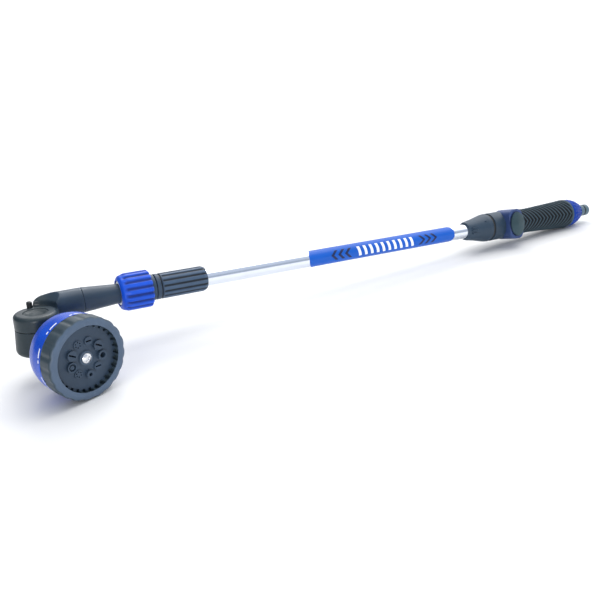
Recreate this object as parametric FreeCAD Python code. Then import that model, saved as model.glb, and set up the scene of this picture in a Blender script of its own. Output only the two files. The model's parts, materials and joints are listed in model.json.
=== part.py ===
import FreeCAD, Part
import math
import os

# Telescopic watering wand, shut to its short length and lying on the floor.
# Every piece is drawn in the wand's own frame and laid down at the end:
#   X runs along the tubes from the spray head to the hose end,
#   Z is the axis that the spray head swivels about, and Y points to the wand's far side.
# Millimetres and degrees.

Vector = FreeCAD.Vector
ORIGIN = Vector(0, 0, 0)
ALONG = Vector(1, 0, 0)
UP = Vector(0, 0, 1)

# ---- driving dimensions ----
TUBE_R = 8.5                # outer tube, 17 mm across
TUBE_WALL = 0.8
INNER_R = 6.8               # inner tube, slides in the outer one
INNER_WALL = 0.8
RUNNING = 0.05              # radial clearance of pieces that slide or turn on each other
GAP = 0.3                   # clearance between moving pieces that don't bear on each other

NECK_R = 11.4
NECK_NOSE_X = 10.5          # centre of the rounded end of the neck
NECK_SEAM_X = 42.0          # where the two neck pieces meet
NUT_X = 74.5                # head end of the coupling nut
NUT_LENGTH = 29.2
NUT_R = 17.4
NUT_FLUTES = 16
ADAPTOR_R = 12.2
COLLAR_X = 108.5            # head end of the twist-lock collar
COLLAR_LENGTH = 50.2
COLLAR_R = 12.1
COLLAR_GROOVES = 14
LABEL_X = 271.6
LABEL_LENGTH = 193.7
CONNECTOR_X = 486.8         # head end of the handle
SEAL_X = 519.6              # black ring between the connector and the valve body
BODY_X = 522.8
BODY_R = 16.5
KNOB_X = 548.7              # centre of the shut-off valve
KNOB_HALF_WIDTH = 10.0
KNOB_HALF_HEIGHT = 14.0
KNOB_RISE = 12.0            # the knob looks this far above the wand's near side
GRIP_X = 568.0
GRIP_R = 17.7               # the grip's widest part, near its tail end
GRIP_WIDE_X = 647.0
CAP_X = 655.5
CAP_END_X = 676.5
NIPPLE_END_X = 696.0
NIPPLE_R = 7.1
INNER_END_X = 471.0         # tail end of the inner tube when shut

PIVOT_Y = -13.0             # the swivel barrel stands beside the neck
BARREL_R = 18.5
BARREL_TOP = 1.0
BARREL_SPLIT = -12.0        # the neck's half is above, the head's half is below
BARREL_FOOT = -34.6
BARREL_FOOT_R = 20.2
SPIGOT_R = 9.0
BUTTON_X = -2.0
BUTTON_Y = 2.7
BUTTON_R = 2.4

HEAD_TURN = 70.0            # angle from the tail direction to the spray direction
HEAD_DROP = 23.5            # the dial's centre is this far below the tubes
HEAD_REACH = 75.0           # pivot axis to the dial's front face
DIAL_R = 34.4
DIAL_DEPTH = 15.0
DIAL_SCALLOPS = 20
RECESS_R = 27.5
RECESS_DEPTH = 5.5
RIM_SLOTS = 30
NOZZLES = 9
NOZZLE_CIRCLE = 14.0
NOZZLE_START = -6.0

# The wand lies on the dial's rim and on the widest part of the grip, so the tail is lower.
DIAL_STATION = HEAD_REACH * math.cos(math.radians(HEAD_TURN))
LAY_PITCH = math.degrees(math.atan2(HEAD_DROP + DIAL_R - GRIP_R, GRIP_WIDE_X - DIAL_STATION))


# ---- tools for drawing ----
def rounded_face(corners):
    """Face in the XY plane from (x, y) corners. A third value rounds that corner."""
    count = len(corners)
    joints = []
    for i in range(count):
        here = Vector(corners[i][0], corners[i][1], 0)
        before = Vector(corners[i - 1][0], corners[i - 1][1], 0)
        after = Vector(corners[(i + 1) % count][0], corners[(i + 1) % count][1], 0)
        radius = corners[i][2] if len(corners[i]) > 2 else 0
        if radius == 0:
            joints.append((here, None, here))
            continue
        back = (before - here).normalize()
        ahead = (after - here).normalize()
        half = back.getAngle(ahead) / 2
        reach = radius / math.tan(half)
        centre = here + (back + ahead).normalize() * (radius / math.sin(half))
        middle = centre + (here - centre).normalize() * radius
        joints.append((here + back * reach, middle, here + ahead * reach))
    edges = []
    for i in range(count):
        start, middle, end = joints[i]
        if middle is not None:
            edges.append(Part.Arc(start, middle, end).toShape())
        following = joints[(i + 1) % count][0]
        if end.distanceToPoint(following) > 1e-6:
            edges.append(Part.makeLine(end, following))
    return Part.Face(Part.Wire(edges))


def lathe(corners):
    """Solid turned about the X axis from (x, radius) corners."""
    return rounded_face(corners).revolve(ORIGIN, ALONG, 360)


def ring(x0, x1, outer, inner):
    return lathe([(x0, inner), (x1, inner), (x1, outer), (x0, outer)])


def rod(x0, x1, radius):
    return Part.makeCylinder(radius, x1 - x0, Vector(x0, 0, 0), ALONG)


def o_ring(x, centre_radius, cord_radius):
    return Part.makeTorus(centre_radius, cord_radius, Vector(x, 0, 0), ALONG)


def around(tool, count, start=0.0):
    """Copies of a cutting tool, evenly spaced about the X axis."""
    copies = []
    for i in range(count):
        copy = tool.copy()
        copy.rotate(ORIGIN, ALONG, start + 360.0 * i / count)
        copies.append(copy)
    return Part.makeCompound(copies)


def helix_spring(x0, x1, coil_radius, wire_radius, turns):
    """Round-wire spring along X."""
    length = x1 - x0 - 2 * wire_radius
    path = Part.makeHelix(length / turns, length, coil_radius)
    section = Part.makeCircle(wire_radius, Vector(coil_radius, 0, 0), Vector(0, 1, 0))
    spring = Part.Wire(path).makePipeShell([Part.Wire(section)], True, True)
    spring.rotate(ORIGIN, Vector(0, 1, 0), 90)
    spring.translate(Vector(x0 + wire_radius, 0, 0))
    return spring


# Frames for pieces that are drawn about the X axis and belong to another axis.
STAND_UP = FreeCAD.Rotation(Vector(0, 1, 0), -90)
PIVOT = FreeCAD.Placement(Vector(0, PIVOT_Y, 0), STAND_UP)
BUTTON = FreeCAD.Placement(Vector(BUTTON_X, BUTTON_Y, 0), STAND_UP)
HEAD_CENTRE = Vector(0, PIVOT_Y, -HEAD_DROP)
HEAD = FreeCAD.Placement(HEAD_CENTRE, FreeCAD.Rotation(UP, -HEAD_TURN))
FACE = HEAD.multiply(FreeCAD.Placement(Vector(HEAD_REACH, 0, 0), FreeCAD.Rotation()))
KNOB_LEAN = FreeCAD.Rotation(ALONG, 90 - KNOB_RISE)
KNOB = FreeCAD.Placement(Vector(KNOB_X, 0, 0), KNOB_LEAN.multiply(STAND_UP))


def placed(shape, placement):
    copy = shape.copy()
    copy.Placement = placement.multiply(copy.Placement)
    return copy


parts = {}

# ---- spray dial: turns on the head to choose a pattern ----
# In the head's pieces x is 0 on the dial's front face and negative towards the swivel.
PLATE_FRONT = -RECESS_DEPTH
PLATE_BACK = PLATE_FRONT - 2.5
SELECTOR_FRONT = PLATE_BACK - 1.8
SELECTOR_BACK = SELECTOR_FRONT - 4.5

dial_ring = lathe([
    (0, RECESS_R, 0.6), (0, DIAL_R, 1.6), (-DIAL_DEPTH, DIAL_R, 1.0), (-DIAL_DEPTH, 32.0),
    (SELECTOR_FRONT, 32.0), (SELECTOR_FRONT, 25.5), (PLATE_BACK, 25.5), (PLATE_BACK, RECESS_R)])
scallop = Part.makeCylinder(6.0, DIAL_DEPTH + 2, Vector(-DIAL_DEPTH - 1, 0, DIAL_R + 5.1), ALONG)
rim_slot = Part.makeBox(RECESS_DEPTH - 0.9, 2.5, 3.4, Vector(PLATE_FRONT, -1.25, RECESS_R - 2.0))
dial_ring = dial_ring.cut(around(scallop, DIAL_SCALLOPS))
dial_ring = dial_ring.cut(around(rim_slot, RIM_SLOTS))
parts["dial_ring"] = placed(dial_ring, FACE)

nozzle_plate = ring(PLATE_BACK, PLATE_FRONT, RECESS_R, 2.6)
plate_notch = Part.makeBox(4.0, 2.5, 3.0, Vector(PLATE_BACK - 0.5, -1.25, RECESS_R - 1.9))
nozzle_plate = nozzle_plate.cut(around(plate_notch, RIM_SLOTS))
nozzle_plate = nozzle_plate.fuse(ring(PLATE_FRONT, PLATE_FRONT + 0.5, 6.6, 2.6))


def nozzle(kind):
    """Boss and outlet of one spray pattern, drawn about the X axis."""
    deep = PLATE_BACK - 1
    if kind == "jet":
        return ring(PLATE_FRONT, PLATE_FRONT + 3.0, 4.0, 2.4), rod(deep, 0, 2.4)
    if kind == "stream":
        return ring(PLATE_FRONT, PLATE_FRONT + 3.0, 3.4, 1.5), rod(deep, 0, 1.5)
    if kind == "cone":
        boss = ring(PLATE_FRONT, PLATE_FRONT + 2.4, 4.2, 3.0)
        boss = boss.fuse(rod(PLATE_FRONT, PLATE_FRONT + 1.8, 1.8))
        return boss, ring(deep, 0, 3.0, 1.8).cut(rod(deep - 1, PLATE_FRONT, 10))
    if kind == "fan":
        slot = Part.makeBox(9, 1.3, 6.6, Vector(deep, -0.65, -3.3))
        slot.rotate(ORIGIN, ALONG, 60)
        return rod(PLATE_FRONT, PLATE_FRONT + 2.6, 4.2), slot
    if kind == "flat":
        slot = Part.makeBox(9, 5.2, 1.2, Vector(deep, -2.6, -0.6))
        return rod(PLATE_FRONT, PLATE_FRONT + 1.2, 3.6), slot
    pin_hole = Part.makeCylinder(0.6, 9, Vector(deep, 0, 2.2), ALONG)
    return rod(PLATE_FRONT, PLATE_FRONT + 0.9, 3.6), around(pin_hole, 6)


PATTERNS = ["jet", "fan", "flat", "mist", "fan", "cone", "mist", "stream", "flat"]
for i in range(NOZZLES):
    angle = math.radians(NOZZLE_START + 360.0 / NOZZLES * i)
    # Seen from the front, angle 0 is on the right, which is the local +Y side.
    spot = Vector(0, NOZZLE_CIRCLE * math.cos(angle), NOZZLE_CIRCLE * math.sin(angle))
    boss, outlet = nozzle(PATTERNS[i])
    boss.translate(spot)
    outlet.translate(spot)
    nozzle_plate = nozzle_plate.fuse(boss).cut(outlet)
parts["nozzle_plate"] = placed(nozzle_plate, FACE)

selector_disc = ring(SELECTOR_BACK, SELECTOR_FRONT, 31.8, 3.2)
selector_port = Part.makeCylinder(3.2, 8, Vector(SELECTOR_BACK - 1, NOZZLE_CIRCLE, 0), ALONG)
selector_disc = selector_disc.cut(around(selector_port, NOZZLES, NOZZLE_START))
parts["selector_disc"] = placed(selector_disc, FACE)

# ---- head housing and what it holds ----
WALL_FRONT = -16.5          # the wall that the dial turns against
WALL_BACK = -19.5
HOUSING_FRONT = -DIAL_DEPTH - GAP
COLLAR_END = -52.0
STEM_R = 6.5
STEM_BORE_R = 4.3
SCREW_R = 2.4
head_housing = lathe([
    (HOUSING_FRONT, 31.6), (HOUSING_FRONT, 34.0, 0.8), (-27, 33.4, 20), (-37, 30.8, 8),
    (-43, 22.5, 8), (-44.5, 9.4, 1.5), (COLLAR_END, 9.4, 0.8), (COLLAR_END, STEM_R),
    (-41.8, STEM_R), (-41.8, 20.6, 6), (-35.4, 28.6, 8), (-26, 31.2, 10), (WALL_BACK, 31.6),
    (WALL_BACK, SCREW_R), (SELECTOR_BACK - 0.4, SCREW_R), (SELECTOR_BACK - 0.4, 5.0),
    (WALL_FRONT, 5.0), (WALL_FRONT, 31.6)])
water_port = Part.makeCylinder(3.6, 6, Vector(WALL_BACK - 1, 0, NOZZLE_CIRCLE), ALONG)
detent_boss = Part.makeCylinder(3.6, 9, Vector(-24, 0, -22), ALONG)
detent_bore = Part.makeCylinder(2.15, 8, Vector(-22.5, 0, -22), ALONG)
head_housing = head_housing.cut(water_port).fuse(detent_boss).cut(detent_bore)
parts["head_housing"] = placed(head_housing, FACE)

seal_length = SELECTOR_BACK - 0.1 - WALL_FRONT
port_seal = ring(0, seal_length, 5.2, 3.6)
port_seal.translate(Vector(WALL_FRONT, 0, NOZZLE_CIRCLE))
parts["port_seal"] = placed(port_seal, FACE)

detent_ball = Part.makeSphere(2.0, Vector(SELECTOR_BACK - 2.05, 0, -22))
detent_ball = detent_ball.cut(rod(SELECTOR_BACK - 0.05, 0, 40))
parts["detent_ball"] = placed(detent_ball, FACE)
detent_spring = helix_spring(-22.4, SELECTOR_BACK - 4.1, 1.6, 0.3, 4)
detent_spring.translate(Vector(0, 0, -22))
parts["detent_spring"] = placed(detent_spring, FACE)

SCREW_SEAT = PLATE_FRONT + 0.6
dial_screw = lathe([
    (-22, 0), (-22, SCREW_R, 0.6), (SCREW_SEAT + 0.6, SCREW_R), (SCREW_SEAT + 0.6, 4.3, 0.3),
    (SCREW_SEAT + 1.5, 4.3, 0.7), (SCREW_SEAT + 2.6, 2.2, 0.8), (SCREW_SEAT + 2.6, 0)])
cross_slot = Part.makeBox(3, 1.1, 5.0, Vector(SCREW_SEAT + 1.0, -0.55, -2.5))
dial_screw = dial_screw.cut(around(cross_slot, 2, 45).fuse(around(cross_slot, 2, 135)))
parts["dial_screw"] = placed(dial_screw, FACE)
parts["screw_washer"] = placed(ring(SCREW_SEAT, SCREW_SEAT + 0.6, 5.8, SCREW_R), FACE)

SOCKET_START = 13.5
SOCKET_END = 21.5
head_stem = ring(SOCKET_START - HEAD_REACH, -39.0, STEM_R, STEM_BORE_R)
stem_groove = ring(-46.2, -44.2, STEM_R, STEM_R - 1.2)
parts["head_stem"] = placed(head_stem.cut(stem_groove), FACE)
parts["stem_o_ring"] = placed(o_ring(-45.2, STEM_R - 0.6, 0.55), FACE)

# ---- lower half of the swivel barrel: turns with the head ----
DRUM_TOP = BARREL_SPLIT - 0.15
DRUM_FLOOR = DRUM_TOP - 2.7
swivel_drum = lathe([
    (DRUM_TOP, SPIGOT_R), (DRUM_TOP, BARREL_R, 0.2), (BARREL_FOOT, BARREL_FOOT_R, 4.5),
    (BARREL_FOOT, 13.0, 0.5), (DRUM_FLOOR, 13.0), (DRUM_FLOOR, SPIGOT_R)])
swivel_drum = placed(swivel_drum, PIVOT)
socket = placed(rod(SOCKET_START, SOCKET_END, STEM_R + 1.0), HEAD)
socket = socket.cut(placed(rod(BARREL_FOOT, 0, 13.0), PIVOT))
socket_bore = placed(rod(SOCKET_START, SOCKET_END + 1, STEM_R), HEAD)
water_way = placed(rod(5, SOCKET_END, STEM_BORE_R), HEAD)
parts["swivel_drum"] = swivel_drum.fuse(socket).cut(socket_bore).cut(water_way)
drum_cap = lathe([
    (BARREL_FOOT + 1.0, 0), (BARREL_FOOT + 1.0, 10.0, 0.5), (BARREL_FOOT + 0.4, 11.0, 0.4),
    (BARREL_FOOT + 0.4, 13.0), (BARREL_FOOT + 2.9, 13.0), (BARREL_FOOT + 2.9, 0)])
parts["drum_cap"] = placed(drum_cap, PIVOT)

SPIGOT_TOP = -5.7
GROOVE_Z = -11.0
swivel_spigot = lathe([
    (DRUM_FLOOR - 2, 6.5), (DRUM_FLOOR - 2, 11.5, 0.4), (DRUM_FLOOR, 11.5), (DRUM_FLOOR, SPIGOT_R),
    (GROOVE_Z - 0.6, SPIGOT_R), (GROOVE_Z - 0.6, 7.9), (GROOVE_Z + 0.6, 7.9),
    (GROOVE_Z + 0.6, SPIGOT_R), (SPIGOT_TOP, SPIGOT_R, 0.4), (SPIGOT_TOP, SCREW_R),
    (-13.0, SCREW_R), (-13.0, 4.4), (-7.2, 4.4), (-7.2, 6.5)])
window = Part.makeBox(2.2, 6.0, 6.0, Vector(-9.6, -3.0, 5.5))
parts["swivel_spigot"] = placed(swivel_spigot.cut(around(window, 4, 45)), PIVOT)
parts["swivel_o_ring"] = placed(o_ring(GROOVE_Z, 8.48, 0.5), PIVOT)

# ---- upper half of the barrel and the neck, one hollow moulding ----
ROOF_LOW = -5.5
ROOF_HIGH = -4.1
CAP_R = 10.0
pivot_screw = lathe([
    (-13.4, 0), (-13.4, SCREW_R), (-3.4, SCREW_R), (-3.4, 4.2, 0.3), (-1.9, 4.2, 0.6), (-1.9, 0)])
socket_hex = Part.makeBox(2, 2.5, 2.5, Vector(-3.0, -1.25, -1.25))
parts["pivot_screw"] = placed(pivot_screw.cut(socket_hex), PIVOT)
parts["pivot_washer"] = placed(ring(ROOF_HIGH + 0.1, -3.4, 6.5, SCREW_R), PIVOT)
pivot_cap = lathe([
    (-1.8, 0), (-1.8, CAP_R), (0.2, CAP_R), (0.2, CAP_R - 0.8, 0.3), (-1.0, 6.0, 5.0),
    (-1.5, 0)])
parts["pivot_cap"] = placed(pivot_cap, PIVOT)

barrel = lathe([
    (BARREL_SPLIT, SPIGOT_R + RUNNING), (BARREL_SPLIT, BARREL_R, 0.2),
    (BARREL_TOP, BARREL_R, 3.5), (BARREL_TOP, CAP_R, 0.8), (ROOF_HIGH, CAP_R), (ROOF_HIGH, 2.6),
    (ROOF_LOW, 2.6), (ROOF_LOW, 11.5), (-10, 11.5), (-10, SPIGOT_R + RUNNING)])
barrel = placed(barrel, PIVOT)
neck = rod(NECK_NOSE_X, NECK_SEAM_X, NECK_R).fuse(
    Part.makeSphere(NECK_R, Vector(NECK_NOSE_X, 0, 0)))
# The neck is cut back round the barrel, so the barrel's top stays open to view.
inside_barrel = placed(rod(BARREL_SPLIT, BARREL_TOP, BARREL_R - 0.2), PIVOT)
above_barrel = placed(rod(BARREL_TOP, 20, BARREL_R), PIVOT)
scarf = placed(lathe([(5, 0), (5, BARREL_R), (14, BARREL_R + 9), (14, 0)]), PIVOT)
neck = neck.cut(inside_barrel).cut(above_barrel).cut(scarf)
neck_bore = rod(19, NECK_SEAM_X + 1, 7.5)
neck_passage = Part.makeBox(19, 7.0, 3.4, Vector(2, -5, -9))
neck_passage = neck_passage.cut(placed(rod(ROOF_LOW, 0, 12), PIVOT))
neck_elbow = barrel.fuse(neck).cut(neck_bore).cut(neck_passage)
button_bore = rod(-8, BARREL_TOP + 1, BUTTON_R + RUNNING)
button_hole = rod(-13, -7, 1.2 + RUNNING)
neck_elbow = neck_elbow.cut(placed(button_bore, BUTTON)).cut(placed(button_hole, BUTTON))
parts["neck_elbow"] = neck_elbow

lock_button = lathe([
    (-9.4, 0), (-9.4, 1.2), (-1, 1.2), (-1, BUTTON_R), (5.6, BUTTON_R, 0.8), (6.2, 1.2, 1.0),
    (6.2, 0)])
parts["lock_button"] = placed(lock_button, BUTTON)
parts["button_spring"] = placed(helix_spring(-7.95, -1.05, 1.8, 0.3, 5), BUTTON)

NECK_TAIL_R = 9.0
FLANGE_X = 80.0
neck_tail = lathe([
    (34, 5.5), (34, 7.5), (37, 7.5), (37, 6.2), (39.4, 6.2), (39.4, 7.5), (NECK_SEAM_X, 7.5),
    (NECK_SEAM_X, NECK_R, 0.3), (NUT_X - 1, NECK_TAIL_R, 30), (FLANGE_X, NECK_TAIL_R),
    (FLANGE_X, 12.6), (FLANGE_X + 4, 12.6), (FLANGE_X + 4, 5.5)])
parts["neck_tail"] = neck_tail
parts["neck_o_ring"] = o_ring(38.2, 6.85, 0.6)
parts["thrust_ring"] = lathe([
    (NUT_X + 0.6, NECK_TAIL_R), (FLANGE_X, NECK_TAIL_R), (FLANGE_X, 11.5),
    (NUT_X + 0.6, 11.5, 1.0)])
parts["union_gasket"] = ring(FLANGE_X + 4, FLANGE_X + 5, 11.0, 6.0)

# ---- coupling nut: turned by hand to clamp the neck to the inner tube's fitting ----
NUT_END = NUT_X + NUT_LENGTH
THREAD_R = 13.0
coupling_nut = lathe([
    (NUT_X, 11.5 + GAP), (NUT_X, 13.0, 1.0), (NUT_X + 1.6, 15.6, 2.5), (NUT_X + 7, NUT_R, 4.0),
    (NUT_END - 1.2, NUT_R, 0.6), (NUT_END, NUT_R - 1.0), (NUT_END, THREAD_R + 0.7),
    (NUT_END - 1.0, THREAD_R + RUNNING), (FLANGE_X - 0.05, THREAD_R + RUNNING),
    (FLANGE_X - 0.05, 11.5 + GAP)])
nut_flute = rod(NUT_X + 5, NUT_END + 1, 1.7)
nut_flute = nut_flute.fuse(Part.makeSphere(1.7, Vector(NUT_X + 5, 0, 0)))
nut_flute.translate(Vector(0, 0, NUT_R + 0.6))
parts["coupling_nut"] = coupling_nut.cut(around(nut_flute, NUT_FLUTES))

# ---- inner tube with its end fittings ----
ADAPTOR_END = COLLAR_X - 0.6
TUBE_SEAT_X = 95.0
parts["tube_adaptor"] = lathe([
    (FLANGE_X + 5, 5.5), (FLANGE_X + 5, THREAD_R, 0.6), (NUT_END - 0.4, THREAD_R),
    (NUT_END + 0.6, ADAPTOR_R), (ADAPTOR_END, ADAPTOR_R, 0.8), (ADAPTOR_END, INNER_R),
    (TUBE_SEAT_X, INNER_R), (TUBE_SEAT_X, 5.5)])
parts["inner_tube"] = ring(TUBE_SEAT_X, INNER_END_X, INNER_R, INNER_R - INNER_WALL)
TUBE_BORE = TUBE_R - TUBE_WALL
GUIDE_R = TUBE_BORE - RUNNING
GUIDE_GROOVE_X = INNER_END_X + 2.2
parts["tube_guide"] = lathe([
    (INNER_END_X - 9, INNER_R), (INNER_END_X - 9, GUIDE_R, 0.3), (GUIDE_GROOVE_X, GUIDE_R),
    (GUIDE_GROOVE_X, 6.3), (GUIDE_GROOVE_X + 1.8, 6.3), (GUIDE_GROOVE_X + 1.8, GUIDE_R),
    (INNER_END_X + 7, GUIDE_R, 0.5), (INNER_END_X + 7, 5.2), (INNER_END_X, 5.2),
    (INNER_END_X, INNER_R)])
parts["guide_o_ring"] = o_ring(GUIDE_GROOVE_X + 0.9, 6.98, 0.65)

# ---- twist-lock: a collar that squeezes a split collet on the inner tube ----
COLLAR_END_X = COLLAR_X + COLLAR_LENGTH
SLEEVE_R = 10.3
SLEEVE_X = COLLAR_X + 2.2
COLLET_R = 9.0
OUTER_START_X = 118.0
lock_collar = lathe([
    (COLLAR_X, INNER_R + GAP), (COLLAR_X, COLLAR_R, 0.8), (COLLAR_END_X - 3, COLLAR_R, 3.0),
    (COLLAR_END_X, COLLAR_R - 1.4, 0.6), (COLLAR_END_X, TUBE_R + GAP),
    (COLLAR_END_X - 2, TUBE_R + GAP), (COLLAR_END_X - 2, SLEEVE_R + RUNNING),
    (COLLAR_X + 2, SLEEVE_R + RUNNING), (COLLAR_X + 2, INNER_R + GAP)])
groove_start = Vector(COLLAR_X + 6.0, 0, COLLAR_R + 0.3)
collar_groove = Part.makeCylinder(0.95, COLLAR_LENGTH, groove_start, ALONG)
lock_collar = lock_collar.cut(around(collar_groove, COLLAR_GROOVES))
parts["lock_collar"] = lock_collar.cut(ring(COLLAR_X + 3.9, COLLAR_X + 5.0, 14, COLLAR_R - 0.8))
parts["collet_sleeve"] = lathe([
    (SLEEVE_X, COLLET_R), (SLEEVE_X, SLEEVE_R, 0.3), (COLLAR_END_X - 4, SLEEVE_R, 0.3),
    (COLLAR_END_X - 4, TUBE_R), (OUTER_START_X, TUBE_R), (OUTER_START_X, INNER_R + RUNNING),
    (OUTER_START_X - 0.3, INNER_R + RUNNING), (OUTER_START_X - 0.3, 8.3),
    (SLEEVE_X + 5, 8.3), (SLEEVE_X + 5, COLLET_R)])
collet = ring(SLEEVE_X, SLEEVE_X + 5, COLLET_R, INNER_R + RUNNING)
parts["split_collet"] = collet.cut(Part.makeBox(8, 1.6, 20, Vector(SLEEVE_X - 1, -0.8, 0)))
parts["wiper_ring"] = o_ring(OUTER_START_X - 1.15, 7.56, 0.68)

# ---- outer tube and its label ----
TUBE_END_X = 500.0
parts["outer_tube"] = ring(OUTER_START_X, TUBE_END_X, TUBE_R, TUBE_BORE)
LABEL_THICK = 0.12
LABEL_CORNER = 6.5
label_face = rounded_face([
    (LABEL_X, -TUBE_R - 0.4, LABEL_CORNER), (LABEL_X + LABEL_LENGTH, -TUBE_R - 0.4, LABEL_CORNER),
    (LABEL_X + LABEL_LENGTH, TUBE_R + 0.4, LABEL_CORNER), (LABEL_X, TUBE_R + 0.4, LABEL_CORNER)])
label_prism = label_face.extrude(Vector(0, 0, 12))
label_prism.rotate(ORIGIN, ALONG, 90 - KNOB_RISE)
label_shell = ring(LABEL_X, LABEL_X + LABEL_LENGTH, TUBE_R + LABEL_THICK, TUBE_R)
parts["label"] = label_shell.common(label_prism)

# ---- handle: connector, valve body, grip and hose end ----
SPIGOT_X = 506.0            # head end of the valve body's spigot
BODY_SPIGOT_R = 12.0
connector = lathe([
    (CONNECTOR_X, TUBE_R), (CONNECTOR_X, 10.2, 0.5), (CONNECTOR_X + 2, 11.0, 2),
    (500, 12.9, 12), (515, 16.2, 8), (SEAL_X, BODY_R, 0.6), (SEAL_X, BODY_SPIGOT_R),
    (SPIGOT_X, BODY_SPIGOT_R), (SPIGOT_X, 7.0), (TUBE_END_X, 7.0), (TUBE_END_X, TUBE_R),
    (492, TUBE_R), (492, 9.9), (489.6, 9.9), (489.6, TUBE_R)])
finger_line = Part.makeBox(9, 0.9, 3, Vector(CONNECTOR_X + 3, -0.45, 11.4))
for turn in (-16, 0, 16):
    line = finger_line.copy()
    line.rotate(ORIGIN, ALONG, 90 - KNOB_RISE + turn)
    connector = connector.fuse(line.common(rod(CONNECTOR_X, CONNECTOR_X + 14, 12.9)))
index_bump = Part.makeSphere(1.6, Vector(511, 0, 14.9))
index_bump.rotate(ORIGIN, ALONG, 90 - KNOB_RISE - 34)
parts["handle_connector"] = connector.fuse(index_bump)
parts["tube_o_ring"] = o_ring(490.8, 9.2, 0.68)
parts["joint_seal"] = ring(SEAL_X, BODY_X, BODY_R - 1.1, BODY_SPIGOT_R)

BALL_R = 8.5
CHAMBER_R = 9.5
CHAMBER_X = KNOB_X - 10
SEAT = 3.5
RETAINER_X = CHAMBER_X + 20
BEZEL_HALF_HEIGHT = 17.6
BEZEL_HEAD = -10.2          # the bezel's two ends, from the knob's centre
BEZEL_TAIL = 10.7
BEZEL_CORNER = 8.0
BEZEL_TOP = 23.0
BEZEL_DEEP = -2.0
KNOB_BASE = BEZEL_TOP + GAP
CORE_R = 14.0
SPIGOT_END_X = 600.0
WATER_R = 5.0
valve_body = lathe([
    (SPIGOT_X, 7.0), (SPIGOT_X, BODY_SPIGOT_R, 0.5), (BODY_X, BODY_SPIGOT_R),
    (BODY_X, BODY_R, 0.6), (GRIP_X - 8, BODY_R, 8), (GRIP_X, 15.4, 0.6), (GRIP_X, 10.0),
    (SPIGOT_END_X, 10.0, 0.5), (SPIGOT_END_X, CHAMBER_R - 1.0), (RETAINER_X + 6, CHAMBER_R - 1.0),
    (RETAINER_X + 6, CHAMBER_R), (CHAMBER_X, CHAMBER_R), (CHAMBER_X, 7.0)])
bezel_face = rounded_face([
    (BEZEL_HEAD, -BEZEL_HALF_HEIGHT, BEZEL_CORNER), (BEZEL_TAIL, -BEZEL_HALF_HEIGHT, BEZEL_CORNER),
    (BEZEL_TAIL, BEZEL_HALF_HEIGHT, BEZEL_CORNER), (BEZEL_HEAD, BEZEL_HALF_HEIGHT, BEZEL_CORNER)])
bezel_face.translate(Vector(0, 0, BEZEL_DEEP))
across_valve = FreeCAD.Placement(Vector(KNOB_X, 0, 0), KNOB_LEAN)
bezel_space = placed(bezel_face.extrude(Vector(0, 0, 30)), across_valve).cut(rod(500, 620, CORE_R))
stem_bore = placed(rod(5, 30, 4.0), KNOB)
o_ring_seat = placed(rod(11.4, 12.8, 5.2), KNOB)
parts["valve_body"] = valve_body.cut(bezel_space).cut(stem_bore).cut(o_ring_seat)
bezel = bezel_face.extrude(Vector(0, 0, BEZEL_TOP - BEZEL_DEEP))
top_edges = [edge for edge in bezel.Edges if edge.BoundBox.ZMin > BEZEL_TOP - 0.1]
bezel = placed(bezel.makeFillet(1.2, top_edges), across_valve)
bezel = bezel.cut(rod(500, 620, CORE_R))
parts["valve_bezel"] = bezel.cut(placed(rod(5, 30, 4.0 + GAP), KNOB))
parts["valve_seat_front"] = ring(CHAMBER_X, CHAMBER_X + SEAT, CHAMBER_R, WATER_R).cut(
    Part.makeSphere(BALL_R + RUNNING, Vector(KNOB_X, 0, 0)))
parts["valve_seat_rear"] = ring(RETAINER_X - SEAT, RETAINER_X, CHAMBER_R, WATER_R).cut(
    Part.makeSphere(BALL_R + RUNNING, Vector(KNOB_X, 0, 0)))
parts["seat_retainer"] = ring(RETAINER_X, RETAINER_X + 5, CHAMBER_R, 5.5)

# The ball is drawn shut: its bore lies across the wand.
valve_ball = Part.makeSphere(BALL_R)
ball_bore = Part.makeCylinder(WATER_R - 0.5, 20, Vector(0, -10, 0), Vector(0, 1, 0))
ball_slot = Part.makeBox(3, 6, 3, Vector(BALL_R - 2.2, -3, -1.5))
parts["valve_ball"] = placed(valve_ball.cut(ball_bore).cut(ball_slot), KNOB)
valve_stem = rod(BALL_R + 0.2, KNOB_BASE, 4.0 - RUNNING)
stem_tongue = Part.makeBox(3, 5.9, 2.9, Vector(BALL_R - 2.1, -2.95, -1.45))
valve_stem = valve_stem.fuse(stem_tongue).common(rod(0, 30, 4.0 - RUNNING))
parts["valve_stem"] = placed(valve_stem, KNOB)
parts["stem_seal"] = placed(o_ring(12.1, 4.6, 0.6), KNOB)


def knob_oval(low, high, grown):
    """Oval slab of the knob between two heights over the valve's centre."""
    oval = Part.Ellipse(ORIGIN, KNOB_HALF_HEIGHT + grown, KNOB_HALF_WIDTH + grown).toShape()
    slab = Part.Face(Part.Wire([oval])).extrude(Vector(0, 0, high - low))
    slab.rotate(ORIGIN, UP, 90)
    slab.translate(Vector(0, 0, low))
    return placed(slab, across_valve)


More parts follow.
